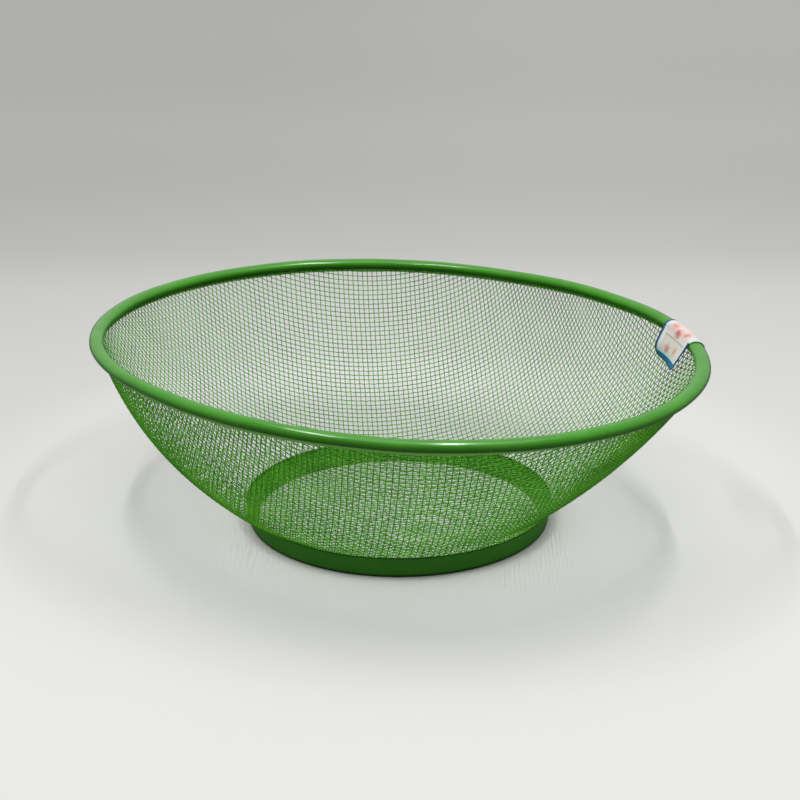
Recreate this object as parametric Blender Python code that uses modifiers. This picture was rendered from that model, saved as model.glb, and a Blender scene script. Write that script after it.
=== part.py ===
"""Rice basket: a bowl of coated wire cloth with a rolled rim and a sheet foot ring.

Lengths are in metres and +Z is up. The basket stands on z = 0 with its rim round the
Z axis, its foot ring a little towards +X, and its front towards -Y.
"""

import math

import bmesh
import bpy
from mathutils import Matrix, Vector
from mathutils.geometry import interpolate_bezier

# Overall size
RIM_RADIUS = 0.140
BASKET_HEIGHT = 0.090

# Rolled rim strip
ROLL_WIDTH = 0.0068
ROLL_HEIGHT = 0.0050
ROLL_SHEET = 0.0006
ROLL_LAP = 0.0020
HOOP_WIRE = 0.0020

# Foot ring
FOOT_BASE_RADIUS = 0.0713
FOOT_TOP_RADIUS = 0.0728
FOOT_HEIGHT = 0.0090
FOOT_SHEET = 0.0008
FOOT_FLANGE = 0.0043
FOOT_BEND_RADIUS = 0.0012

# Wire cloth: each strand stands for several wires of the real weave
STRAND = 0.0014
STRAND_PITCH = 0.0130
CLOTH_TURN = math.radians(6.0)
FLOOR_CORNER_RADIUS = 0.0050
WALL_FOOT_SLOPE = math.radians(37.0)
WALL_RIM_SLOPE = math.radians(67.0)
WALL_HANDLE_SHARE = 0.355
EDGE_RISE_SHARE = 0.45
SNAP_SHARE = 0.34

# Hand-made shape: the rim is longer on one diagonal, and the foot sits off its middle
OVAL_SHARE = 0.074
OVAL_SAG = 0.0012
FOOT_OFFSET = 0.0031
OFFSET_FADE = 0.0080

# Paper label
LABEL_WIDTH = 0.032
LABEL_DROP = 0.018
LABEL_PAPER = 0.0003
LABEL_AZIMUTH = math.radians(1.9)

# Clearance between pieces that touch on the real basket
SEAT_GAP = 0.0003

# Facets
RING_STEPS = 64
ROLL_STEPS = 11
BEND_STEPS = 3
CORNER_STEPS = 4
WALL_STEPS = 16
HOOP_SIDES = 6
LABEL_COLUMNS = 5
LABEL_ROWS = 5
KNOT_ROUNDS = 8

COATING_GREEN = (0.075, 0.32, 0.045, 1.0)
CLOTH_GREEN = (0.10, 0.36, 0.07, 1.0)
FOOT_GREEN = (0.05, 0.24, 0.03, 1.0)
HOOP_GREY = (0.45, 0.45, 0.46, 1.0)
PAPER_WHITE = (0.80, 0.76, 0.68, 1.0)


# Derived sizes

ROLL_RADIUS = RIM_RADIUS - ROLL_WIDTH / 2
ROLL_LEVEL = BASKET_HEIGHT - ROLL_HEIGHT / 2
WALL_TOP = BASKET_HEIGHT - ROLL_HEIGHT
CLOTH_CLEARANCE = STRAND / 2 + SEAT_GAP
SKIRT_LEAN = math.atan2(FOOT_TOP_RADIUS - FOOT_BASE_RADIUS, FOOT_HEIGHT)


def rim_wall_radius():
    """Radius of the cloth where it enters the roll: the lap then starts below the roll's middle."""
    return ROLL_RADIUS - (CLOTH_CLEARANCE + ROLL_SHEET) / math.sin(WALL_RIM_SLOPE)


def foot_seat():
    """Radius and height where the cloth's middle surface clears the foot ring's inner top edge."""
    inner_radius = FOOT_TOP_RADIUS - FOOT_SHEET * math.cos(SKIRT_LEAN)
    inner_height = FOOT_HEIGHT + FOOT_SHEET * math.sin(SKIRT_LEAN)
    radius = inner_radius - CLOTH_CLEARANCE * math.sin(WALL_FOOT_SLOPE)
    height = inner_height + CLOTH_CLEARANCE * math.cos(WALL_FOOT_SLOPE)
    return radius, height


def bowl_section():
    """Middle surface of the cloth, as (radius, height) points from the centre to the edge."""
    seat_radius, seat_height = foot_seat()
    corner_radius = seat_radius - FLOOR_CORNER_RADIUS * math.sin(WALL_FOOT_SLOPE)
    floor_height = seat_height - FLOOR_CORNER_RADIUS * (1 - math.cos(WALL_FOOT_SLOPE))
    points = [(0.0, floor_height)]
    for step in range(CORNER_STEPS):
        angle = WALL_FOOT_SLOPE * step / CORNER_STEPS
        points.append((corner_radius + FLOOR_CORNER_RADIUS * math.sin(angle),
                       floor_height + FLOOR_CORNER_RADIUS * (1 - math.cos(angle))))

    low = Vector((seat_radius, seat_height))
    high = Vector((rim_wall_radius(), WALL_TOP))
    handle = (high - low).length * WALL_HANDLE_SHARE
    low_handle = low + handle * Vector((math.cos(WALL_FOOT_SLOPE), math.sin(WALL_FOOT_SLOPE)))
    rim_way = Vector((math.cos(WALL_RIM_SLOPE), math.sin(WALL_RIM_SLOPE)))
    wall = interpolate_bezier(low, low_handle, high - handle * rim_way, high, WALL_STEPS + 1)
    points += [tuple(point) for point in wall]

    edge = high + ROLL_HEIGHT * EDGE_RISE_SHARE * rim_way
    points.append(tuple(edge))
    return points


class Bowl:
    """The bowl's middle surface, read by the distance along its section from the centre."""

    def __init__(self):
        self.points = bowl_section()
        self.marks = [0.0]
        for first, second in zip(self.points, self.points[1:]):
            self.marks.append(self.marks[-1] + math.dist(first, second))
        self.reach = self.marks[-1]

    def at(self, along):
        """Radius, height and their rates of change; past the edge the wall runs on straight."""
        index = 1
        while index < len(self.marks) - 1 and self.marks[index] < along:
            index += 1
        low, high = self.points[index - 1], self.points[index]
        run = self.marks[index] - self.marks[index - 1]
        way = ((high[0] - low[0]) / run, (high[1] - low[1]) / run)
        past = along - self.marks[index - 1]
        return low[0] + past * way[0], low[1] + past * way[1], way[0], way[1]

    def point(self, along, turn):
        radius, height, _, _ = self.at(along)
        return Vector((radius * math.cos(turn), radius * math.sin(turn), height))


def next_knot(bowl, first, second, corner, pitch):
    """The knot one pitch from two neighbours, across from the corner that they share.

    Knots are (distance along the section, turn). The guess closes a parallelogram,
    and Newton's method brings both distances to one pitch.
    """
    flat = [Vector((along * math.cos(turn), along * math.sin(turn))) for along, turn in (first, second, corner)]
    guess = flat[0] + flat[1] - flat[2]
    along, turn = guess.length, math.atan2(guess.y, guess.x)
    ends = (bowl.point(*first), bowl.point(*second))
    for _ in range(KNOT_ROUNDS):
        radius, height, outward, upward = bowl.at(along)
        cosine, sine = math.cos(turn), math.sin(turn)
        here = Vector((radius * cosine, radius * sine, height))
        climb = Vector((outward * cosine, outward * sine, upward))
        round_way = Vector((-radius * sine, radius * cosine, 0))
        gaps = [here - end for end in ends]
        errors = [(gap.length_squared - pitch ** 2) / 2 for gap in gaps]
        (a, b), (c, d) = [(gap.dot(climb), gap.dot(round_way)) for gap in gaps]
        scale = a * d - b * c
        along -= (errors[0] * d - errors[1] * b) / scale
        turn -= (errors[1] * a - errors[0] * c) / scale
    return along, turn


def lay_cloth(bowl, pitch):
    """Knots of a cloth laid over the bowl: its strands keep their spacing and only shear.

    One quarter is worked out and mirrored. The result maps (column, row) to
    (distance along the section, turn).
    """
    count = math.ceil(bowl.reach / pitch) + 1
    quarter = {(0, 0): (0.0, 0.0)}
    for step in range(1, count + 1):
        quarter[step, 0] = (step * pitch, 0.0)
        quarter[0, step] = (step * pitch, math.pi / 2)
    for row in range(1, count + 1):
        for column in range(1, count + 1):
            sides = [(column - 1, row), (column, row - 1), (column - 1, row - 1)]
            if all(side in quarter for side in sides) and quarter[sides[2]][0] < bowl.reach:
                quarter[column, row] = next_knot(bowl, *[quarter[side] for side in sides], pitch)
    knots = {}
    for (column, row), (along, turn) in quarter.items():
        knots[column, row] = (along, turn)
        knots[-column, row] = (along, math.pi - turn)
        knots[column, -row] = (along, -turn)
        knots[-column, -row] = (along, turn - math.pi)
    return knots


def trim_cloth(bowl, knots, pitch):
    """Cut the cloth at the bowl's edge: knots near the edge move onto it, strands past it end on it."""
    margin = pitch * SNAP_SHARE
    kept = {}
    for key, (along, turn) in knots.items():
        if along < bowl.reach - margin:
            kept[key] = (along, turn)
        elif along < bowl.reach + margin:
            kept[key] = (bowl.reach, turn)

    def edge_knot(inside, outside):
        (near, near_turn), (far, far_turn) = knots[inside], knots[outside]
        share = (bowl.reach - near) / (far - near)
        here = Vector((near * math.cos(near_turn), near * math.sin(near_turn)))
        there = Vector((far * math.cos(far_turn), far * math.sin(far_turn)))
        cut = here.lerp(there, share)
        return bowl.reach, math.atan2(cut.y, cut.x)

    cells = []
    for column, row in knots:
        corners = [(column, row), (column + 1, row), (column + 1, row + 1), (column, row + 1)]
        if not all(corner in knots for corner in corners):
            continue
        cell = []
        for here, there in zip(corners, corners[1:] + corners[:1]):
            if here in kept:
                cell.append((here, kept[here]))
            inside, outside = (here, there) if here in kept else (there, here)
            if inside in kept and outside not in kept and kept[inside][0] < bowl.reach:
                cell.append(((inside, outside), edge_knot(inside, outside)))
        if len(cell) > 2 and any(along < bowl.reach for _, (along, _) in cell):
            cells.append(cell)
    return cells


def squeeze(point):
    """Move a point of the round basket to where the hand-made one has it.

    The wall turns oval towards the rim. The foot moves sideways, the bowl's floor
    stretches with it, and the move fades out just above the foot.
    """
    share = min(max((point.z - FOOT_HEIGHT) / (WALL_TOP - FOOT_HEIGHT), 0), 1) ** 2
    twice = math.sin(2 * math.atan2(point.y, point.x)) * share
    climb = min(max((point.z - FOOT_HEIGHT) / OFFSET_FADE, 0), 1)
    offset = FOOT_OFFSET * (1 - climb * climb * (3 - 2 * climb))
    stretch = 1 - OVAL_SHARE * twice + offset * point.x / FOOT_TOP_RADIUS ** 2
    return Vector((point.x * stretch, point.y * stretch, point.z + OVAL_SAG * twice))


# Scene, materials and finishing


def clear_scene():
    for item in list(bpy.data.objects):
        bpy.data.objects.remove(item, do_unlink=True)


def make_collection(name):
    collection = bpy.data.collections.new(name)
    bpy.context.scene.collection.children.link(collection)
    return collection


def make_material(name, colour, roughness, metallic):
    material = bpy.data.materials.new(name)
    material.use_nodes = True
    shader = material.node_tree.nodes["Principled BSDF"]
    shader.inputs["Base Color"].default_value = colour
    shader.inputs["Roughness"].default_value = roughness
    shader.inputs["Metallic"].default_value = metallic
    material.diffuse_color = colour
    return material


def place_object(name, mesh, collection):
    item = bpy.data.objects.new(name, mesh)
    collection.objects.link(item)
    return item


def finish(item, material, sharp_angle):
    """Freeze the modifiers, squeeze the shape, and give it its material and shading."""
    graph = bpy.context.evaluated_depsgraph_get()
    frozen = bpy.data.meshes.new_from_object(item.evaluated_get(graph))
    item.modifiers.clear()
    item.data = frozen
    for vertex in frozen.vertices:
        vertex.co = squeeze(vertex.co)
    frozen.materials.clear()
    frozen.materials.append(material)
    frozen.shade_smooth()
    frozen.set_sharp_from_angle(angle=sharp_angle)


def turned_sheet(name, section, thickness, collection):
    """A sheet ring: the section's open line turned about Z and thickened towards its inner side."""
    mesh = bpy.data.meshes.new(name)
    shape = bmesh.new()
    line = [shape.verts.new((radius, 0, height)) for radius, height in section]
    for first, second in zip(line, line[1:]):
        shape.edges.new((first, second))
    shape.to_mesh(mesh)
    shape.free()
    item = place_object(name, mesh, collection)
    screw = item.modifiers.new("turn", "SCREW")
    screw.steps = RING_STEPS
    screw.render_steps = RING_STEPS
    screw.use_merge_vertices = True
    screw.merge_threshold = SEAT_GAP / 10
    sheet = item.modifiers.new("sheet", "SOLIDIFY")
    sheet.thickness = thickness
    sheet.offset = -1
    sheet.use_even_offset = True
    return item


# Pieces


def make_mesh_bowl(collection, material):
    bowl = Bowl()
    cells = trim_cloth(bowl, lay_cloth(bowl, STRAND_PITCH), STRAND_PITCH)
    mesh = bpy.data.meshes.new("mesh_bowl")
    shape = bmesh.new()
    corners = {}
    for cell in cells:
        for key, (along, turn) in cell:
            if key not in corners:
                corners[key] = shape.verts.new(bowl.point(along, turn + CLOTH_TURN))
        shape.faces.new([corners[key] for key, _ in cell])
    bmesh.ops.recalc_face_normals(shape, faces=shape.faces)
    shape.to_mesh(mesh)
    shape.free()
    item = place_object("mesh_bowl", mesh, collection)
    strands = item.modifiers.new("strands", "WIREFRAME")
    strands.thickness = STRAND
    strands.use_even_offset = True
    strands.use_boundary = True
    strands.use_replace = True
    finish(item, material, math.radians(30))
    return item


def lip_turn():
    """Angle round the roll where its inner lip stops, clear of the cloth's inner face."""
    across = ROLL_WIDTH / 2 * math.sin(WALL_RIM_SLOPE)
    upright = ROLL_HEIGHT / 2 * math.cos(WALL_RIM_SLOPE)
    stack = 2 * (CLOTH_CLEARANCE + ROLL_SHEET) - upright
    return math.atan2(upright, -across) + math.acos(stack / math.hypot(across, upright))


def roll_section():
    """Outer face of the rolled strip, from its inner lip over the top and down to the lap."""
    wall_way = (math.cos(WALL_RIM_SLOPE), math.sin(WALL_RIM_SLOPE))
    lip_angle = lip_turn()
    lap_angle = -math.pi / 2
    points = []
    for step in range(ROLL_STEPS + 1):
        angle = lip_angle + (lap_angle - lip_angle) * step / ROLL_STEPS
        points.append((ROLL_RADIUS + ROLL_WIDTH / 2 * math.cos(angle),
                       ROLL_LEVEL + ROLL_HEIGHT / 2 * math.sin(angle)))
    low_radius, low_height = points[-1]
    points.append((low_radius - ROLL_LAP * wall_way[0], low_height - ROLL_LAP * wall_way[1]))
    return points


def make_rim_strip(collection, material):
    item = turned_sheet("rim_strip", roll_section(), ROLL_SHEET, collection)
    finish(item, material, math.radians(50))
    return item


def make_rim_hoop(collection, material):
    hoop_radius = RIM_RADIUS - ROLL_SHEET - SEAT_GAP - HOOP_WIRE / 2
    bpy.ops.mesh.primitive_torus_add(major_segments=RING_STEPS, minor_segments=HOOP_SIDES,
                                     major_radius=hoop_radius, minor_radius=HOOP_WIRE / 2,
                                     location=(0, 0, 0))
    item = bpy.context.object
    item.name = "rim_hoop"
    item.data.name = "rim_hoop"
    for owner in list(item.users_collection):
        owner.objects.unlink(item)
    collection.objects.link(item)
    item.data.transform(Matrix.Translation((0, 0, ROLL_LEVEL)))
    finish(item, material, math.radians(70))
    return item


def foot_section():
    """Outer face of the foot ring, from its top edge down the skirt and in along the flange."""
    bend_centre = FOOT_BASE_RADIUS - FOOT_BEND_RADIUS
    points = [(FOOT_TOP_RADIUS, FOOT_HEIGHT)]
    for step in range(BEND_STEPS + 1):
        angle = -SKIRT_LEAN - (math.pi / 2 - SKIRT_LEAN) * step / BEND_STEPS
        points.append((bend_centre + FOOT_BEND_RADIUS * math.cos(angle),
                       FOOT_BEND_RADIUS + FOOT_BEND_RADIUS * math.sin(angle)))
    points.append((FOOT_BASE_RADIUS - FOOT_FLANGE, 0))
    return points


def make_foot_ring(collection, material):
    item = turned_sheet("foot_ring", foot_section(), FOOT_SHEET, collection)
    finish(item, material, math.radians(40))
    return item


def label_section(bowl):
    """The label's inner face: over the roll from its outer side, then straight down to the cloth.

    The paper is stiff, so it leaves the roll where the straight run touches it.
    """
    across = ROLL_WIDTH / 2 + SEAT_GAP
    upright = ROLL_HEIGHT / 2 + SEAT_GAP
    wall_edge = bowl.reach - ROLL_HEIGHT * EDGE_RISE_SHARE
    radius, height, outward, upward = bowl.at(wall_edge - (LABEL_DROP - ROLL_HEIGHT))
    end = (radius - CLOTH_CLEARANCE * upward, height + CLOTH_CLEARANCE * outward)
    run = Vector(((end[0] - ROLL_RADIUS) / across, (end[1] - ROLL_LEVEL) / upright))
    leave = math.atan2(run.y, run.x) % (2 * math.pi) - math.acos(1 / run.length)
    points = []
    for step in range(LABEL_ROWS + 1):
        angle = leave * step / LABEL_ROWS
        points.append((ROLL_RADIUS + across * math.cos(angle), ROLL_LEVEL + upright * math.sin(angle)))
    points.append(end)
    return points


def make_rim_label(collection, material):
    section = label_section(Bowl())
    spread = LABEL_WIDTH / ROLL_RADIUS
    mesh = bpy.data.meshes.new("rim_label")
    shape = bmesh.new()
    line = []
    for radius, height in section:
        start = LABEL_AZIMUTH - spread / 2
        line.append(shape.verts.new((radius * math.cos(start), radius * math.sin(start), height)))
    edges = [shape.edges.new(pair) for pair in zip(line, line[1:])]
    bmesh.ops.spin(shape, geom=line + edges, axis=(0, 0, 1), cent=(0, 0, 0),
                   angle=spread, steps=LABEL_COLUMNS)
    bmesh.ops.recalc_face_normals(shape, faces=shape.faces)
    shape.to_mesh(mesh)
    shape.free()
    item = place_object("rim_label", mesh, collection)
    paper = item.modifiers.new("paper", "SOLIDIFY")
    paper.thickness = LABEL_PAPER
    paper.offset = 1
    paper.use_even_offset = True
    finish(item, material, math.radians(50))
    return item


def main():
    clear_scene()
    basket = make_collection("rice_basket")
    make_mesh_bowl(basket, make_material("coated_wire", CLOTH_GREEN, 0.42, 0.0))
    make_rim_strip(basket, make_material("coated_strip", COATING_GREEN, 0.30, 0.0))
    make_rim_hoop(basket, make_material("steel_wire", HOOP_GREY, 0.40, 1.0))
    make_foot_ring(basket, make_material("coated_foot", FOOT_GREEN, 0.35, 0.0))
    make_rim_label(basket, make_material("label_paper", PAPER_WHITE, 0.60, 0.0))


main()
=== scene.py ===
import math
from bisect import bisect_left

import bmesh
import bpy
from mathutils import Matrix, Vector, noise
from mathutils.geometry import interpolate_bezier


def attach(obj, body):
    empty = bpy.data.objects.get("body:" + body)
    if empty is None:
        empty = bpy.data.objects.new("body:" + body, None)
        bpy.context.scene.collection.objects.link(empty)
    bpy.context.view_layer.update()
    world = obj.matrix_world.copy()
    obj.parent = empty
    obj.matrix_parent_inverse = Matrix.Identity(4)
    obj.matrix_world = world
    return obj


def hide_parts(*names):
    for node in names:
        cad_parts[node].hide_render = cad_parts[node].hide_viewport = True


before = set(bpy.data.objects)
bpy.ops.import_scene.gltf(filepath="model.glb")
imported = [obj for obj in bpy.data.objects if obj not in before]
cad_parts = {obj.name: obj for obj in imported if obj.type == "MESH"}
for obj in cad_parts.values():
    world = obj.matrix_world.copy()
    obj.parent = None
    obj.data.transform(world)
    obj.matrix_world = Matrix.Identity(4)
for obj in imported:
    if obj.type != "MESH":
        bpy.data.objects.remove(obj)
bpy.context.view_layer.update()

# A rice basket of green coated wire cloth with a rolled rim, a foot ring and a paper label.
# Lengths are in metres, +Z is up, and the front is towards -Y, as in the CAD.

# Sizes repeated from the CAD
RIM_RADIUS = 0.140
BASKET_HEIGHT = 0.090
ROLL_WIDTH = 0.0068
ROLL_HEIGHT = 0.0050
ROLL_SHEET = 0.0006
HOOP_WIRE = 0.0020
FOOT_BASE_RADIUS = 0.0713
FOOT_TOP_RADIUS = 0.0728
FOOT_HEIGHT = 0.0090
FOOT_SHEET = 0.0008
FOOT_FLANGE = 0.0043
FOOT_BEND_RADIUS = 0.0012
CLOTH_TURN = math.radians(6.0)
FLOOR_CORNER_RADIUS = 0.0050
WALL_FOOT_SLOPE = math.radians(37.0)
WALL_RIM_SLOPE = math.radians(67.0)
WALL_HANDLE_SHARE = 0.355
EDGE_RISE_SHARE = 0.45
OVAL_SHARE = 0.074
OVAL_SAG = 0.0012
FOOT_OFFSET = 0.0031
OFFSET_FADE = 0.0080
LABEL_WIDTH = 0.032
LABEL_DROP = 0.018
LABEL_AZIMUTH = math.radians(1.9)
SEAT_GAP = 0.0003

ROLL_RADIUS = RIM_RADIUS - ROLL_WIDTH / 2
ROLL_LEVEL = BASKET_HEIGHT - ROLL_HEIGHT / 2
WALL_TOP = BASKET_HEIGHT - ROLL_HEIGHT
SKIRT_LEAN = math.atan2(FOOT_TOP_RADIUS - FOOT_BASE_RADIUS, FOOT_HEIGHT)

# The real weave, ten meshes to the inch. Each wire runs level over its crossing for a share of the pitch
# on either side, and the cloth's middle surface keeps a clearance from the sheet metal.
WIRE = 0.00042
WIRE_PITCH = 0.00254
WIRE_FLAT_SHARE = 0.18
CLOTH_CLEARANCE = 0.0005
KNOT_ROUNDS = 6

# How far the forming press left the wires wandering: a broad and a fine wave, as waves to the metre, and
# the share of it that is lost along the cloth's normal
WIRE_WANDER = 0.00014
BROAD_WAVES = 45
FINE_WAVES = 130
FINE_WAVE_SHARE = 0.5
NORMAL_LOSS_SHARE = 0.6

# The rim: its lap below the roll, the rounding of its edges, a small wave all round, and on the far side
# less sag and a longer oval
ROLL_LAP = 0.0018
ROLL_LAP_SHARES = (0.15, 0.5, 1.0)
ROLL_EDGE = 0.0002
RIM_WAVE = 0.00025
RIM_WAVE_LENGTH = 0.030
SAG_EASE_SHARE = 0.65
FAR_OVAL_SHARE = 0.010

# The foot's skirt: the coat that fills the gap between its edge and the wires, and its rounded edges
SKIRT_FILL = 0.0006
SKIRT_EDGE = 0.00025

# The label: its front lower corner stands off the cloth, its lower corners are cut, its back edge bows
# inwards, and its front edge lies further round the rim than the CAD's
LABEL_PAPER = 0.00025
LABEL_CORNER_IN = 0.0031
LABEL_CORNER_UP = 0.0025
LABEL_CORNER_CUT = 0.0007
LABEL_CORNER_POWER = 1.3
LABEL_BOW = 0.0020
LABEL_BOW_POWER = 1.6
LABEL_FRONT_MORE = 0.0018

# The label's print, as shares across the paper from its front edge and down its fold from the outer side
CREASE_SHARES = (0.44, 0.52)
PANEL_SHARE = 0.60
RULE_SHARES = (0.592, 0.606)
SIDE_MARGIN_SHARE = 0.105
BACK_MARGIN_SHARE = 0.86
INNER_MARGIN_SHARE = 0.50
PALE_LINE_SHARE = 0.870
SIDE_BORDER_SHARE = 0.055
LOWER_BORDER_SHARE = 0.905
BARE_FRONT_SHARES = (0.5, 0.46)

# Round dots printed on the label: across, down, reach and ink, and how far their edges fray and fade
ROSE_DOTS = (
    (0.28, 0.36, 0.070, "E08C80"), (0.50, 0.46, 0.085, "D86F64"), (0.72, 0.36, 0.070, "E49A8E"),
    (0.34, 0.76, 0.055, "E9B3A6"), (0.62, 0.80, 0.065, "E2A091"),
)
DOT_FRAY = 0.16
DOT_FADE_SHARES = (0.4, 1.7)

# Bands of painted shade and painted light on the coat: painted shade in the crease under the roll, a
# painted light on the lap below it, painted shade along the foot's lower edge where it meets the table,
# and painted shade along its upper edge under the wires. Each: height, reach above and below, strength and
# colour
STRIP_PAINTED_BANDS = (
    # painted shade in the crease under the roll
    (WALL_TOP + 0.0011, 0.0015, 0.50, "083808"),
    # painted light: the lap paler, as if it caught light thrown back by the table
    (WALL_TOP - 0.0011, 0.0011, 1.0, "94E868"),
)
FOOT_PAINTED_SHADE_BANDS = (
    # painted shade along the foot's lower edge, where it meets the table
    (0.0, 0.0018, 1.0, "0B2405"),
    # painted shade along the skirt's upper edge, under the wires
    (FOOT_HEIGHT + FOOT_SHEET, 0.0012, 0.9, "0B2405"),
)

# Painted shade on the table towards the back, as greys: from here, fully there, and the grey
TABLE_SHADE_GREYS = (
    (-0.16, 0.14, "DADAD8"), (0.15, 0.30, "D9D9D7"), (0.38, 0.54, "CFCFCD"),
    (0.70, 1.15, "DADAD8"), (1.15, 2.20, "E0E0DE"),
)

# Light and shade on the table: a pool of light round the basket, shade inside the foot ring, and a slope
# of light from left to right that fades out at the front
TABLE_REACH = 6.0
POOL_SHIFT = (0.0, -0.08, 0.0)
POOL_SQUASH = (0.8, 1.0, 1.0)
POOL_REACH = (0.14, 0.19)
POOL_LEVEL = 1.07
FOOT_SHADE_WIDTH = 0.008
FOOT_SHADE_LEVEL = 0.84
SLOPE_REACH = 0.25
SLOPE_LEVEL = 0.035
SLOPE_FADE = (-0.30, 0.10)

# Lamps: name, width, depth, watts, place, whether they light what is matt and whether gloss shows them
LAMPS = (
    ("left_lamp", 0.012, 0.34, 1.05, (-0.22, -0.08, 0.76), True, False),
    ("right_lamp", 0.012, 0.34, 1.05, (0.22, -0.08, 0.76), True, False),
    ("left_glint", 0.050, 0.34, 1.60, (-0.29, -0.08, 0.76), False, True),
    ("right_glint", 0.050, 0.34, 2.10, (0.08, -0.08, 0.76), False, True),
    ("tent_roof", 0.80, 0.80, 2.30, (0.0, 0.0, 0.95), True, True),
)

# The tent's walls: their light, how much more comes from behind, from above and from the left, how bright
# the camera sees them, and their tint
TENT_LIGHT = 0.262
TENT_BACK_MORE = 0.22
TENT_TOP_MORE = 0.45
TENT_LEFT_MORE = 0.08
TENT_SEEN = 0.47
TENT_TINT = (1.0, 1.0, 0.985, 1.0)

# The photograph's view
CAMERA_ELEVATION = math.radians(19.4)
CAMERA_DISTANCE = 0.75
CAMERA_TARGET = Vector((0.0035, 0.0, 0.0574))
CAMERA_FILM_MM = 36.0
CAMERA_LENS_MM = 72.12
CAMERA_NEAR = 0.01

# Facets
RING_STEPS = 192
ROLL_STEPS = 30
HOOP_SIDES = 12
BEND_STEPS = 8
CORNER_STEPS = 8
WALL_STEPS = 48
LABEL_COLUMNS = 18
LABEL_ROWS = 16
WIRE_ROUNDING = 1
EDGE_STEPS = 3
EDGE_ANGLE = math.radians(60)

# Widths of the patterns in millimetres: patches of the coat, draw marks of the hoop, mottle of the table
# paper, fraying of the label's print and its fibre
PATCH_MM = 16.67
DRAW_MARK_MM = 2.5
MOTTLE_MM = 250.0
FRAY_MM = 2.0
FIBRE_MM = 0.356
MM_PER_METRE = 1000.0
LABEL_WIDTH_MM = LABEL_WIDTH * MM_PER_METRE

NOISE_SEED = 5


# The bowl's shape


def foot_seat():
    """Radius and height where the cloth's middle surface clears the foot ring's inner top edge."""
    inner_radius = FOOT_TOP_RADIUS - FOOT_SHEET * math.cos(SKIRT_LEAN)
    inner_height = FOOT_HEIGHT + FOOT_SHEET * math.sin(SKIRT_LEAN)
    return (inner_radius - CLOTH_CLEARANCE * math.sin(WALL_FOOT_SLOPE),
            inner_height + CLOTH_CLEARANCE * math.cos(WALL_FOOT_SLOPE))


def bowl_section():
    """Middle surface of the cloth, as (radius, height) points from the centre to the edge."""
    seat_radius, seat_height = foot_seat()
    corner_radius = seat_radius - FLOOR_CORNER_RADIUS * math.sin(WALL_FOOT_SLOPE)
    floor_height = seat_height - FLOOR_CORNER_RADIUS * (1 - math.cos(WALL_FOOT_SLOPE))
    points = [(0.0, floor_height)]
    for step in range(CORNER_STEPS):
        angle = WALL_FOOT_SLOPE * step / CORNER_STEPS
        points.append((corner_radius + FLOOR_CORNER_RADIUS * math.sin(angle),
                       floor_height + FLOOR_CORNER_RADIUS * (1 - math.cos(angle))))
    low = Vector((seat_radius, seat_height))
    edge_radius = ROLL_RADIUS - (CLOTH_CLEARANCE + ROLL_SHEET) / math.sin(WALL_RIM_SLOPE)
    high = Vector((edge_radius, WALL_TOP))
    handle = (high - low).length * WALL_HANDLE_SHARE
    foot_way = Vector((math.cos(WALL_FOOT_SLOPE), math.sin(WALL_FOOT_SLOPE)))
    rim_way = Vector((math.cos(WALL_RIM_SLOPE), math.sin(WALL_RIM_SLOPE)))
    wall = interpolate_bezier(low, low + handle * foot_way, high - handle * rim_way, high, WALL_STEPS + 1)
    points += [tuple(point) for point in wall]
    points.append(tuple(high + ROLL_HEIGHT * EDGE_RISE_SHARE * rim_way))
    return points


class Bowl:
    """The bowl's middle surface, read by the distance along its section from the centre."""

    def __init__(self):
        self.points = bowl_section()
        self.marks = [0.0]
        for first, second in zip(self.points, self.points[1:]):
            self.marks.append(self.marks[-1] + math.dist(first, second))
        self.reach = self.marks[-1]

    def at(self, along):
        """Radius, height and their rates of change; past the edge the wall runs on straight."""
        index = min(max(bisect_left(self.marks, along), 1), len(self.marks) - 1)
        low, high = self.points[index - 1], self.points[index]
        run = self.marks[index] - self.marks[index - 1]
        way = ((high[0] - low[0]) / run, (high[1] - low[1]) / run)
        past = along - self.marks[index - 1]
        return low[0] + past * way[0], low[1] + past * way[1], way[0], way[1]

    def point(self, along, turn):
        """Where a distance along the section and a turn about Z meet."""
        radius, height, _, _ = self.at(along)
        return Vector((radius * math.cos(turn), radius * math.sin(turn), height))

    def outward(self, along, turn):
        """Unit normal on the basket's outer side."""
        _, _, way, climb = self.at(along)
        return Vector((climb * math.cos(turn), climb * math.sin(turn), -way))


def squeeze(point):
    """Move a point of the round basket to where the hand-made one has it.

    The rim is oval on a diagonal and sags at its far ends, the foot ring is off centre, and both
    fade into the wall between. On the far side the sag eases off and the oval is a little longer.
    """
    share = min(max((point.z - FOOT_HEIGHT) / (WALL_TOP - FOOT_HEIGHT), 0), 1) ** 2
    turn = math.atan2(point.y, point.x)
    twice = math.sin(2 * turn) * share
    back = max(math.sin(turn), 0.0) ** 2
    climb = min(max((point.z - FOOT_HEIGHT) / OFFSET_FADE, 0), 1)
    offset = FOOT_OFFSET * (1 - climb * climb * (3 - 2 * climb))
    stretch = 1 - (OVAL_SHARE + FAR_OVAL_SHARE * back) * twice + offset * point.x / FOOT_TOP_RADIUS ** 2
    rise = OVAL_SAG * twice * (1 - SAG_EASE_SHARE * back)
    moved = Vector((point.x * stretch, point.y * stretch, point.z + rise))
    level = Vector((point.x, point.y, 0)) / RIM_WAVE_LENGTH
    return moved + noise.noise_vector(level) * (RIM_WAVE * share ** 4)


# Steps that the cloth and the other pieces share


def add_piece(name, mesh, material, node):
    """Hang a finished mesh on the basket in place of a CAD node."""
    mesh.materials.clear()
    mesh.materials.append(material)
    item = bpy.data.objects.new(name, mesh)
    bpy.context.scene.collection.objects.link(item)
    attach(item, "root")
    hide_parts(node)


def freeze(item):
    """The object's mesh as its modifiers or bevel leave it; the object itself goes."""
    graph = bpy.context.evaluated_depsgraph_get()
    mesh = bpy.data.meshes.new_from_object(item.evaluated_get(graph))
    mesh.name = item.name
    bpy.data.objects.remove(item)
    return mesh


# The weave


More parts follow.
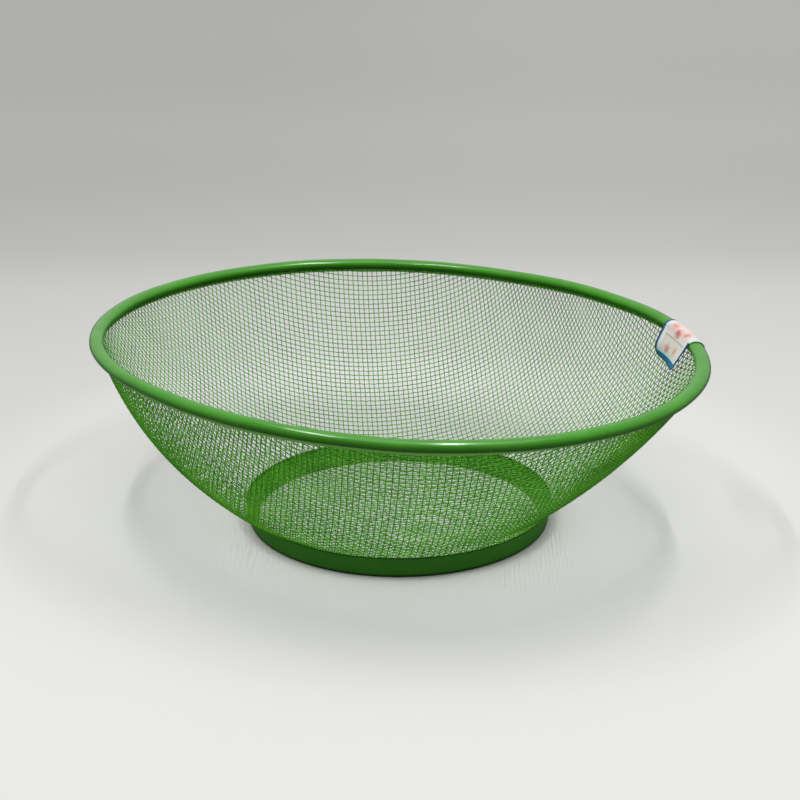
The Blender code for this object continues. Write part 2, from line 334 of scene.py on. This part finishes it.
def next_knot(bowl, first, second, corner, pitch):
    """The crossing one pitch from two neighbours, across from the corner that they share."""
    flat = [Vector((along * math.cos(turn), along * math.sin(turn)))
            for along, turn in (first, second, corner)]
    guess = flat[0] + flat[1] - flat[2]
    along, turn = guess.length, math.atan2(guess.y, guess.x)
    ends = (bowl.point(*first), bowl.point(*second))
    for _ in range(KNOT_ROUNDS):
        radius, height, outward, upward = bowl.at(along)
        cosine, sine = math.cos(turn), math.sin(turn)
        here = Vector((radius * cosine, radius * sine, height))
        climb = Vector((outward * cosine, outward * sine, upward))
        round_way = Vector((-radius * sine, radius * cosine, 0))
        gaps = [here - end for end in ends]
        errors = [(gap.length_squared - pitch ** 2) / 2 for gap in gaps]
        (a, b), (c, d) = [(gap.dot(climb), gap.dot(round_way)) for gap in gaps]
        scale = a * d - b * c
        along -= (errors[0] * d - errors[1] * b) / scale
        turn -= (errors[1] * a - errors[0] * c) / scale
    return along, turn


def lay_cloth(bowl, pitch):
    """Crossings of the cloth over the bowl: the wires keep their spacing and only shear."""
    count = math.ceil(bowl.reach / pitch) + 1
    quarter = {(0, 0): (0.0, 0.0)}
    for step in range(1, count + 1):
        quarter[step, 0] = (step * pitch, 0.0)
        quarter[0, step] = (step * pitch, math.pi / 2)
    for row in range(1, count + 1):
        for column in range(1, count + 1):
            sides = [(column - 1, row), (column, row - 1), (column - 1, row - 1)]
            if all(side in quarter for side in sides) and quarter[sides[2]][0] < bowl.reach:
                quarter[column, row] = next_knot(bowl, *[quarter[side] for side in sides], pitch)
    knots = {}
    for (column, row), (along, turn) in quarter.items():
        knots[column, row] = (along, turn)
        knots[-column, row] = (along, math.pi - turn)
        knots[column, -row] = (along, -turn)
        knots[-column, -row] = (along, turn - math.pi)
    return knots, count


def place_knot(bowl, along, turn):
    """Where a crossing lies on the squeezed basket, wandering a little, and the outward normal there."""
    turn += CLOTH_TURN
    spot = bowl.point(along, turn)
    wander = noise.noise_vector(spot * BROAD_WAVES) + FINE_WAVE_SHARE * noise.noise_vector(spot * FINE_WAVES)
    out = bowl.outward(along, turn)
    wander -= out * wander.dot(out) * NORMAL_LOSS_SHARE
    return squeeze(spot + wander * WIRE_WANDER), out


def wire_points(bowl, knots, keys, side):
    """Centre line of one wire through its crossings: over one, under the next, cut at the bowl's edge.

    A wire with fewer than three crossings is left out.
    """
    inside = [key for key in keys if key in knots and knots[key][0] < bowl.reach]
    if len(inside) < 3:
        return []
    line = []
    for key in inside:
        spot, out = place_knot(bowl, *knots[key])
        line.append((spot, out, side if (key[0] + key[1]) % 2 else -side))
    points = []
    for index, (spot, out, way) in enumerate(line):
        lift = out * (way * WIRE / 2)
        before = line[index - 1][0] if index else 2 * spot - line[1][0]
        after = line[index + 1][0] if index < len(line) - 1 else 2 * spot - line[-2][0]
        points.append(spot.lerp(before, WIRE_FLAT_SHARE) + lift)
        points.append(spot.lerp(after, WIRE_FLAT_SHARE) + lift)
    for end, key, step in ((0, inside[0], -1), (-1, inside[-1], 1)):
        index = keys.index(key) + step
        if 0 <= index < len(keys) and keys[index] in knots:
            (near, near_turn), (far, far_turn) = knots[key], knots[keys[index]]
            share = (bowl.reach - near) / (far - near)
            here = Vector((near * math.cos(near_turn), near * math.sin(near_turn)))
            there = Vector((far * math.cos(far_turn), far * math.sin(far_turn)))
            cut = here.lerp(there, share)
            if share > WIRE_FLAT_SHARE:
                edge, _ = place_knot(bowl, bowl.reach, math.atan2(cut.y, cut.x))
                points.insert(0 if end == 0 else len(points), edge)
    return points


def make_wires(name, lines, material):
    """One band of wires: each a thin round line turned into mesh."""
    curve = bpy.data.curves.new(name, "CURVE")
    curve.dimensions = "3D"
    curve.bevel_depth = WIRE / 2
    curve.bevel_resolution = WIRE_ROUNDING
    curve.use_fill_caps = True
    for line in lines:
        spline = curve.splines.new("POLY")
        spline.points.add(len(line) - 1)
        spline.points.foreach_set("co", [value for point in line for value in (*point, 1.0)])
    drawn = bpy.data.objects.new(name, curve)
    bpy.context.scene.collection.objects.link(drawn)
    mesh = freeze(drawn)
    bpy.data.curves.remove(curve)
    mesh.shade_smooth()
    add_piece(name, mesh, material, "mesh_bowl")


def make_cloth(material):
    """The woven cloth, three bands of wires each way."""
    bowl = Bowl()
    knots, count = lay_cloth(bowl, WIRE_PITCH)
    third = count // 3
    span = range(-count, count + 1)
    bands = {
        "wires_lengthways_left": (range(-count, -third), False, 1),
        "wires_lengthways_middle": (range(-third, third + 1), False, 1),
        "wires_lengthways_right": (range(third + 1, count + 1), False, 1),
        "wires_crossways_front": (range(-count, -third), True, -1),
        "wires_crossways_middle": (range(-third, third + 1), True, -1),
        "wires_crossways_back": (range(third + 1, count + 1), True, -1),
    }
    for name, (numbers, crossways, side) in bands.items():
        lines = []
        for number in numbers:
            keys = [(step, number) if crossways else (number, step) for step in span]
            line = wire_points(bowl, knots, keys, side)
            if line:
                lines.append(line)
        make_wires(name, lines, material)


# Sheet, hoop and label


def spin_round(name, shape):
    """What a bmesh holds, spun a full turn about Z and made a mesh."""
    bmesh.ops.spin(shape, geom=shape.verts[:] + shape.edges[:], axis=(0, 0, 1), cent=(0, 0, 0),
                   angle=2 * math.pi, steps=RING_STEPS, use_merge=True)
    bmesh.ops.recalc_face_normals(shape, faces=shape.faces)
    mesh = bpy.data.meshes.new(name)
    shape.to_mesh(mesh)
    shape.free()
    return mesh


def turned_sheet(name, section, thickness, edge_round, mitre=0.0):
    """A sheet ring: the section spun about Z, thickened inwards, its cut edges rounded.

    A mitre slopes the upper edge up towards the outside, to lie along the cloth; it fades out one
    to two thicknesses below the edge. The attribute round_height keeps each point's height before
    the squeeze, for the coat's bands of painted shade and painted light.
    """
    shape = bmesh.new()
    line = [shape.verts.new((radius, 0, height)) for radius, height in section]
    for pair in zip(line, line[1:]):
        shape.edges.new(pair)
    item = bpy.data.objects.new(name, spin_round(name, shape))
    bpy.context.scene.collection.objects.link(item)
    sheet = item.modifiers.new("sheet", "SOLIDIFY")
    sheet.thickness = thickness
    sheet.offset = -1
    sheet.use_even_offset = True
    edge = item.modifiers.new("edge", "BEVEL")
    edge.width = edge_round
    edge.segments = EDGE_STEPS
    edge.limit_method = "ANGLE"
    edge.angle_limit = EDGE_ANGLE
    mesh = freeze(item)
    top_radius, top_height = section[0]
    heights = mesh.attributes.new("round_height", "FLOAT", "POINT")
    for vertex, height in zip(mesh.vertices, heights.data):
        height.value = vertex.co.z
        place = vertex.co.copy()
        near_top = min(max((place.z - top_height) / thickness + 2, 0), 1) if mitre else 0
        place.z += near_top * mitre * (math.hypot(place.x, place.y) - top_radius + thickness)
        vertex.co = squeeze(place)
    mesh.shade_smooth()
    return mesh


def roll_section():
    """Outer face of the rolled strip, from its inner lip over the top and down to the lap."""
    across = ROLL_WIDTH / 2 * math.sin(WALL_RIM_SLOPE)
    upright = ROLL_HEIGHT / 2 * math.cos(WALL_RIM_SLOPE)
    stack = 2 * (CLOTH_CLEARANCE + ROLL_SHEET) - upright
    lip_angle = math.atan2(upright, -across) + math.acos(stack / math.hypot(across, upright))
    points = []
    for step in range(ROLL_STEPS + 1):
        angle = lip_angle - (lip_angle + math.pi / 2) * step / ROLL_STEPS
        points.append((ROLL_RADIUS + ROLL_WIDTH / 2 * math.cos(angle),
                       ROLL_LEVEL + ROLL_HEIGHT / 2 * math.sin(angle)))
    low_radius, low_height = points[-1]
    for share in ROLL_LAP_SHARES:
        points.append((low_radius - share * ROLL_LAP * math.cos(WALL_RIM_SLOPE),
                       low_height - share * ROLL_LAP * math.sin(WALL_RIM_SLOPE)))
    return points


def hoop_ring():
    """The round wire inside the roll, squeezed with the rim."""
    middle = RIM_RADIUS - ROLL_SHEET - SEAT_GAP - HOOP_WIRE / 2
    stand_up = Matrix.Translation((middle, 0, ROLL_LEVEL)) @ Matrix.Rotation(math.pi / 2, 4, "X")
    shape = bmesh.new()
    bmesh.ops.create_circle(shape, segments=HOOP_SIDES, radius=HOOP_WIRE / 2, matrix=stand_up)
    mesh = spin_round("hoop_wire", shape)
    for vertex in mesh.vertices:
        vertex.co = squeeze(vertex.co)
    mesh.shade_smooth()
    return mesh


def foot_section():
    """Outer face of the foot ring, from its top edge down the skirt and in along the flange."""
    bend_centre = FOOT_BASE_RADIUS - FOOT_BEND_RADIUS
    points = [(FOOT_TOP_RADIUS, FOOT_HEIGHT + SKIRT_FILL)]
    for step in range(BEND_STEPS + 1):
        angle = -SKIRT_LEAN - (math.pi / 2 - SKIRT_LEAN) * step / BEND_STEPS
        points.append((bend_centre + FOOT_BEND_RADIUS * math.cos(angle),
                       FOOT_BEND_RADIUS + FOOT_BEND_RADIUS * math.sin(angle)))
    points.append((FOOT_BASE_RADIUS - FOOT_FLANGE, 0))
    return points


def label_path(bowl, across_share):
    """The label's inner face along its fold: over the roll from its outer side, then straight down.

    The paper is stiff, so it leaves the roll where the straight run touches it. At its front edge
    the lower end stands off the cloth, and towards its back edge the straight run bows inwards.
    """
    loose = (1 - across_share) ** LABEL_CORNER_POWER
    across = ROLL_WIDTH / 2 + SEAT_GAP
    upright = ROLL_HEIGHT / 2 + SEAT_GAP
    wall_edge = bowl.reach - ROLL_HEIGHT * EDGE_RISE_SHARE
    radius, height, outward, upward = bowl.at(wall_edge - (LABEL_DROP - ROLL_HEIGHT))
    end = Vector((radius - CLOTH_CLEARANCE * upward - loose * LABEL_CORNER_IN,
                  height + CLOTH_CLEARANCE * outward + loose * LABEL_CORNER_UP))
    run = Vector(((end.x - ROLL_RADIUS) / across, (end.y - ROLL_LEVEL) / upright))
    leave = math.atan2(run.y, run.x) % (2 * math.pi) - math.acos(1 / run.length)
    points = []
    for step in range(LABEL_ROWS + 1):
        angle = leave * step / LABEL_ROWS
        points.append(Vector((ROLL_RADIUS + across * math.cos(angle),
                              ROLL_LEVEL + upright * math.sin(angle))))
    start = points[-1]
    inwards = Vector((start.y - end.y, end.x - start.x)).normalized() * -LABEL_BOW * across_share ** 2
    for step in range(1, LABEL_ROWS + 1):
        share = step / LABEL_ROWS
        points.append(start.lerp(end, share) + inwards * math.sin(math.pi * share ** LABEL_BOW_POWER))
    return points


def make_label(material):
    """The folded paper label; its UV map runs across the paper and along the fold."""
    bowl = Bowl()
    spread = LABEL_WIDTH / ROLL_RADIUS
    rows = 2 * LABEL_ROWS
    shape = bmesh.new()
    shape.loops.layers.uv.new("UVMap")
    bmesh.ops.create_grid(shape, x_segments=LABEL_COLUMNS, y_segments=rows, size=0.5, calc_uvs=True)
    for vertex in shape.verts:
        across = vertex.co.x + 0.5
        row = round((vertex.co.y + 0.5) * rows)
        cut = 1 - 2 * LABEL_CORNER_CUT / LABEL_WIDTH if row == rows else 1
        front_more = (1 - across) * LABEL_FRONT_MORE / RIM_RADIUS
        turn = LABEL_AZIMUTH + (across - 0.5) * spread * cut - front_more
        radius, height = label_path(bowl, across)[row]
        vertex.co = (radius * math.cos(turn), radius * math.sin(turn), height)
    bmesh.ops.recalc_face_normals(shape, faces=shape.faces)
    mesh = bpy.data.meshes.new("paper_label")
    shape.to_mesh(mesh)
    shape.free()
    item = bpy.data.objects.new("paper_label", mesh)
    bpy.context.scene.collection.objects.link(item)
    paper = item.modifiers.new("paper", "SOLIDIFY")
    paper.thickness = LABEL_PAPER
    paper.offset = 1
    mesh = freeze(item)
    for vertex in mesh.vertices:
        vertex.co = squeeze(vertex.co)
    mesh.shade_smooth()
    add_piece("paper_label", mesh, material, "rim_label")


# Materials


def paint(code):
    """A screen colour such as 3FA127 as the linear colour that the shader wants."""
    channels = [int(code[place:place + 2], 16) / 255 for place in (0, 2, 4)]
    linear = [value / 12.92 if value <= 0.04045 else ((value + 0.055) / 1.055) ** 2.4 for value in channels]
    return (*linear, 1.0)


def add_node(tree, kind, inputs=(), output=0, **settings):
    """Add a shader node with its settings and links, and give back one of its outputs.

    An input is a plain value or another node's output. A plain row of inputs fills the sockets in
    order, and a dictionary names them.
    """
    made = tree.nodes.new(kind)
    for name, value in settings.items():
        setattr(made, name, value)
    for name, value in inputs.items() if isinstance(inputs, dict) else enumerate(inputs):
        if isinstance(value, bpy.types.NodeSocket):
            tree.links.new(value, made.inputs[name])
        else:
            made.inputs[name].default_value = value
    return made.outputs[output]


def new_material(name, **constants):
    """A material with a plain shader; constants are set on the shader's own sockets."""
    material = bpy.data.materials.new(name)
    material.use_nodes = True
    tree = material.node_tree
    shader = tree.nodes["Principled BSDF"]
    for label, value in constants.items():
        shader.inputs[label.replace("_", " ")].default_value = value
    return material, tree, shader


def lay_colours(tree, ground, layers):
    """Colours laid over a ground one after another, each by a share, as coats and prints are.

    A Mix node takes its two colours at the inputs 6 and 7 and gives the mixed one at the output 2.
    """
    for share, colour in layers:
        ground = add_node(tree, "ShaderNodeMix", {"Factor": share, 6: ground, 7: colour}, output=2,
                          data_type="RGBA")
    return ground


def green_coat(name, deep, bright, roughness, gloss, peel_mm, peel_depth, bands=()):
    """Baked green coating: darker and lighter patches, a slight orange peel and a soft gloss.

    Each band is a height, the reach above and below it, its strength and its colour: painted shade,
    darker where a crease or an edge lies in shadow, or painted light, paler where a face catches light.
    """
    material, tree, shader = new_material(name, Roughness=roughness, Specular_IOR_Level=gloss)
    place = add_node(tree, "ShaderNodeTexCoord", output="Object")
    patches = add_node(tree, "ShaderNodeTexNoise", {"Vector": place, "Scale": MM_PER_METRE / PATCH_MM,
                                                    "Detail": 3.0})
    spread = add_node(tree, "ShaderNodeMapRange", {"Value": patches, "From Min": 0.3, "From Max": 0.7})
    layers = [(spread, paint(bright))]
    # Bands of painted shade and painted light, laid on by each point's height before the squeeze
    for level, reach, strength, tint in bands:
        height = add_node(tree, "ShaderNodeAttribute", output="Fac", attribute_name="round_height")
        above = add_node(tree, "ShaderNodeMath", (height, level), operation="SUBTRACT")
        away = add_node(tree, "ShaderNodeMath", (above,), operation="ABSOLUTE")
        share = add_node(tree, "ShaderNodeMapRange", {"Value": away, "From Min": reach / 4, "From Max": reach,
                                                      "To Min": strength, "To Max": 0.0})
        layers.append((share, paint(tint)))
    tree.links.new(lay_colours(tree, paint(deep), layers), shader.inputs["Base Color"])
    peel = add_node(tree, "ShaderNodeTexNoise", {"Vector": place, "Scale": MM_PER_METRE / peel_mm,
                                                 "Detail": 1.0})
    bump = add_node(tree, "ShaderNodeBump", {"Height": peel, "Strength": 0.35, "Distance": peel_depth})
    tree.links.new(bump, shader.inputs["Normal"])
    return material


def label_paper():
    """Printed paper label, matt with a faint fibre: blue edge, beige panel, grey rule and rose dots."""
    material, tree, shader = new_material("printed_label_paper", Roughness=0.5)
    place = add_node(tree, "ShaderNodeTexCoord", output="UV")
    parts = add_node(tree, "ShaderNodeSeparateXYZ", (place,)).node.outputs
    across, down = parts["X"], parts["Y"]
    aside = add_node(tree, "ShaderNodeMath", (across, 0.5), operation="SUBTRACT")
    aside = add_node(tree, "ShaderNodeMath", (aside,), operation="ABSOLUTE")
    from_edge = add_node(tree, "ShaderNodeMath", (0.5, aside), operation="SUBTRACT")
    panel, rule_start, inner, pale_line, lower_border, back_margin = [
        add_node(tree, "ShaderNodeMath", (value, limit), operation="GREATER_THAN")
        for value, limit in (
            (down, PANEL_SHARE), (down, RULE_SHARES[0]), (down, INNER_MARGIN_SHARE),
            (down, PALE_LINE_SHARE), (down, LOWER_BORDER_SHARE), (across, BACK_MARGIN_SHARE))]
    rule_end, side_margin, side_border, front_half, outer_side = [
        add_node(tree, "ShaderNodeMath", (value, limit), operation="LESS_THAN")
        for value, limit in (
            (down, RULE_SHARES[1]), (from_edge, SIDE_MARGIN_SHARE), (from_edge, SIDE_BORDER_SHARE),
            (across, BARE_FRONT_SHARES[0]), (down, BARE_FRONT_SHARES[1]))]
    crease = add_node(tree, "ShaderNodeMapRange", {"Value": down, "From Min": CREASE_SHARES[0],
                                                   "From Max": CREASE_SHARES[1]})
    rule = add_node(tree, "ShaderNodeMath", (rule_start, rule_end), operation="MULTIPLY")
    layers = [(crease, paint("FAEEE9")), (panel, paint("F2EAE2")), (rule, paint("A6A49F"))]
    ragged = add_node(tree, "ShaderNodeTexNoise", {"Vector": place, "Scale": LABEL_WIDTH_MM / FRAY_MM,
                                                   "Detail": 3.0})
    fray = add_node(tree, "ShaderNodeMath", (ragged, DOT_FRAY, -DOT_FRAY / 2), operation="MULTIPLY_ADD")
    for left, low, reach, ink in ROSE_DOTS:
        gap = add_node(tree, "ShaderNodeVectorMath", (place, (left, low, 0.0)), output="Value",
                       operation="DISTANCE")
        gap = add_node(tree, "ShaderNodeMath", (gap, fray), operation="ADD")
        dot = add_node(tree, "ShaderNodeMapRange", {
            "Value": gap, "From Min": reach * DOT_FADE_SHARES[0], "From Max": reach * DOT_FADE_SHARES[1],
            "To Min": 1.0, "To Max": 0.0})
        layers.append((dot, paint(ink)))
    margin = add_node(tree, "ShaderNodeMath", (side_margin, back_margin), operation="MAXIMUM")
    layers.append((margin, lay_colours(tree, paint("D6E4E8"), ((inner, paint("F2FAFF")),))))
    layers.append((pale_line, paint("CFF3FF")))
    bare_front = add_node(tree, "ShaderNodeMath", (front_half, outer_side), operation="MULTIPLY")
    border = add_node(tree, "ShaderNodeMath", (lower_border, side_border), operation="MAXIMUM")
    border = add_node(tree, "ShaderNodeMath", (border, bare_front), operation="SUBTRACT")
    layers.append((border, lay_colours(tree, paint("1C5880"), ((lower_border, paint("0C74A6")),))))
    tree.links.new(lay_colours(tree, paint("E4D6D0"), layers), shader.inputs["Base Color"])
    fibre = add_node(tree, "ShaderNodeTexNoise", {"Vector": place, "Scale": LABEL_WIDTH_MM / FIBRE_MM,
                                                  "Detail": 4.0})
    bump = add_node(tree, "ShaderNodeBump", {"Height": fibre, "Strength": 0.15, "Distance": 0.0001})
    tree.links.new(bump, shader.inputs["Normal"])
    return material


def bare_steel():
    """Drawn steel of the hoop inside the roll: grey metal, rougher and smoother by its draw marks."""
    material, tree, shader = new_material("drawn_steel_wire", Metallic=1.0, Base_Color=paint("B9B9BB"))
    place = add_node(tree, "ShaderNodeTexCoord", output="Object")
    marks = add_node(tree, "ShaderNodeTexNoise", {"Vector": place, "Scale": MM_PER_METRE / DRAW_MARK_MM,
                                                  "Detail": 2.0})
    rough = add_node(tree, "ShaderNodeMapRange", {"Value": marks, "To Min": 0.3, "To Max": 0.5})
    tree.links.new(rough, shader.inputs["Roughness"])
    return material


def table_paper():
    """Pale matt paper on the table: nearly white at the front, with painted shade greying it behind.

    A pool of light lies round the basket and shade inside its foot ring, and what the paper throws
    back on the basket is greyer than what the camera sees.
    """
    material, tree, shader = new_material("pale_table_paper", Roughness=0.9, Specular_IOR_Level=0.2)
    place = add_node(tree, "ShaderNodeTexCoord", output="Object")
    parts = add_node(tree, "ShaderNodeSeparateXYZ", (place,)).node.outputs
    mottle = add_node(tree, "ShaderNodeTexNoise", {"Vector": place, "Scale": MM_PER_METRE / MOTTLE_MM,
                                                   "Detail": 3.0})
    layers = [(mottle, paint("E8E8E6"))]
    # painted shade: the greys stand for the light falling off towards the back
    for start, end, grey in TABLE_SHADE_GREYS:
        behind = add_node(tree, "ShaderNodeMapRange", {"Value": parts["Y"], "From Min": start,
                                                       "From Max": end}, interpolation_type="SMOOTHSTEP")
        layers.append((behind, paint(grey)))
    seen = lay_colours(tree, paint("E6E6E4"), layers)
    moved = add_node(tree, "ShaderNodeMapping", {"Vector": place, "Location": POOL_SHIFT,
                                                 "Scale": POOL_SQUASH})
    from_pool = add_node(tree, "ShaderNodeVectorMath", (moved,), output="Value", operation="LENGTH")
    from_middle = add_node(tree, "ShaderNodeVectorMath", (place,), output="Value", operation="LENGTH")
    pool, foot_shade, slope, past_front = [
        add_node(tree, "ShaderNodeMapRange", {"Value": value, "From Min": start, "From Max": end,
                                              "To Min": low, "To Max": high}, interpolation_type="SMOOTHSTEP")
        for value, start, end, low, high in (
            (from_pool, *POOL_REACH, POOL_LEVEL, 1.0),
            (from_middle, FOOT_BASE_RADIUS - FOOT_SHADE_WIDTH, FOOT_BASE_RADIUS, FOOT_SHADE_LEVEL, 1.0),
            (parts["X"], -SLOPE_REACH, SLOPE_REACH, -SLOPE_LEVEL, SLOPE_LEVEL),
            (parts["Y"], *SLOPE_FADE, 0.0, 1.0))]
    level = add_node(tree, "ShaderNodeMath", (slope, past_front, pool), operation="MULTIPLY_ADD")
    level = add_node(tree, "ShaderNodeMath", (level, foot_shade), operation="MULTIPLY")
    seen = add_node(tree, "ShaderNodeVectorMath", {0: seen, "Scale": level}, operation="SCALE")
    rays = add_node(tree, "ShaderNodeLightPath").node.outputs
    thrown_back = ((rays["Is Diffuse Ray"], paint("929290")), (rays["Is Glossy Ray"], paint("707070")))
    tree.links.new(lay_colours(tree, seen, thrown_back), shader.inputs["Base Color"])
    return material


# Building


def make_basket():
    """The five parts of the basket, each over its CAD node."""
    wire_coat = green_coat("green_coated_wire", "48A010", "66BE20", roughness=0.25, gloss=0.3,
                           peel_mm=0.9, peel_depth=0.00005)
    # The strip's coat and the foot's coat carry bands of painted shade and painted light
    strip_coat = green_coat("green_coated_strip", "3C9014", "449C19", roughness=0.18, gloss=0.45,
                            peel_mm=0.8, peel_depth=0.00002, bands=STRIP_PAINTED_BANDS)
    foot_coat = green_coat("green_coated_foot", "3E9320", "479C27", roughness=0.40, gloss=0.3,
                           peel_mm=0.8, peel_depth=0.00002, bands=FOOT_PAINTED_SHADE_BANDS)
    make_cloth(wire_coat)
    rim = turned_sheet("rolled_rim", roll_section(), ROLL_SHEET, ROLL_EDGE)
    add_piece("rolled_rim", rim, strip_coat, "rim_strip")
    skirt = turned_sheet("foot_skirt", foot_section(), FOOT_SHEET, SKIRT_EDGE, math.tan(WALL_FOOT_SLOPE))
    add_piece("foot_skirt", skirt, foot_coat, "foot_ring")
    make_label(label_paper())
    add_piece("hoop_wire", hoop_ring(), bare_steel(), "rim_hoop")


def make_stage():
    """A wide pale table, with painted shade greying it towards its far side."""
    shape = bmesh.new()
    bmesh.ops.create_grid(shape, x_segments=1, y_segments=1, size=TABLE_REACH)
    mesh = bpy.data.meshes.new("table")
    shape.to_mesh(mesh)
    shape.free()
    mesh.materials.append(table_paper())
    table = bpy.data.objects.new("table", mesh)
    bpy.context.scene.collection.objects.link(table)


def make_lamps():
    """Two long lamps under the roof of a white tent, and two more for the glints on the rim."""
    for name, width, depth, watts, place, lights_matt, shows_in_gloss in LAMPS:
        lamp = bpy.data.lights.new(name, "AREA")
        lamp.shape = "RECTANGLE"
        lamp.size = width
        lamp.size_y = depth
        lamp.energy = watts
        item = bpy.data.objects.new(name, lamp)
        item.location = place
        item.visible_diffuse = lights_matt
        item.visible_glossy = shows_in_gloss
        bpy.context.scene.collection.objects.link(item)


def make_tent():
    """The even light of the tent's walls, stronger from behind, from above and from the left.

    A Mix node of numbers takes them at the inputs 2 and 3.
    """
    world = bpy.data.worlds.new("white_tent")
    bpy.context.scene.world = world
    world.use_nodes = True
    tree = world.node_tree
    way = add_node(tree, "ShaderNodeTexCoord", output="Generated")
    parts = add_node(tree, "ShaderNodeSeparateXYZ", (way,)).node.outputs
    level = add_node(tree, "ShaderNodeMath", (parts["Y"], TENT_BACK_MORE, TENT_LIGHT),
                     operation="MULTIPLY_ADD")
    level = add_node(tree, "ShaderNodeMath", (parts["Z"], TENT_TOP_MORE, level), operation="MULTIPLY_ADD")
    leftwards = add_node(tree, "ShaderNodeMath", (parts["X"], 0.0), operation="MINIMUM")
    level = add_node(tree, "ShaderNodeMath", (leftwards, -TENT_LEFT_MORE, level), operation="MULTIPLY_ADD")
    level = add_node(tree, "ShaderNodeMath", (level, 0.0), operation="MAXIMUM")
    by_camera = add_node(tree, "ShaderNodeLightPath", output="Is Camera Ray")
    strength = add_node(tree, "ShaderNodeMix", {"Factor": by_camera, 2: level, 3: TENT_SEEN},
                        data_type="FLOAT")
    walls = tree.nodes["Background"]
    walls.inputs["Color"].default_value = TENT_TINT
    tree.links.new(strength, walls.inputs["Strength"])


def make_camera():
    """The photograph's view of the basket, from the front and a little above."""
    back = Vector((0.0, -math.cos(CAMERA_ELEVATION), math.sin(CAMERA_ELEVATION)))
    camera = bpy.data.cameras.new("camera")
    camera.sensor_width = CAMERA_FILM_MM
    camera.lens = CAMERA_LENS_MM
    camera.clip_start = CAMERA_NEAR
    item = bpy.data.objects.new("camera", camera)
    item.location = CAMERA_TARGET + CAMERA_DISTANCE * back
    item.rotation_euler = (math.pi / 2 - CAMERA_ELEVATION, 0.0, 0.0)
    bpy.context.scene.collection.objects.link(item)
    bpy.context.scene.camera = item


bpy.context.scene.view_settings.view_transform = "Standard"
noise.seed_set(NOISE_SEED)
make_basket()
make_stage()
make_lamps()
make_tent()
make_camera()
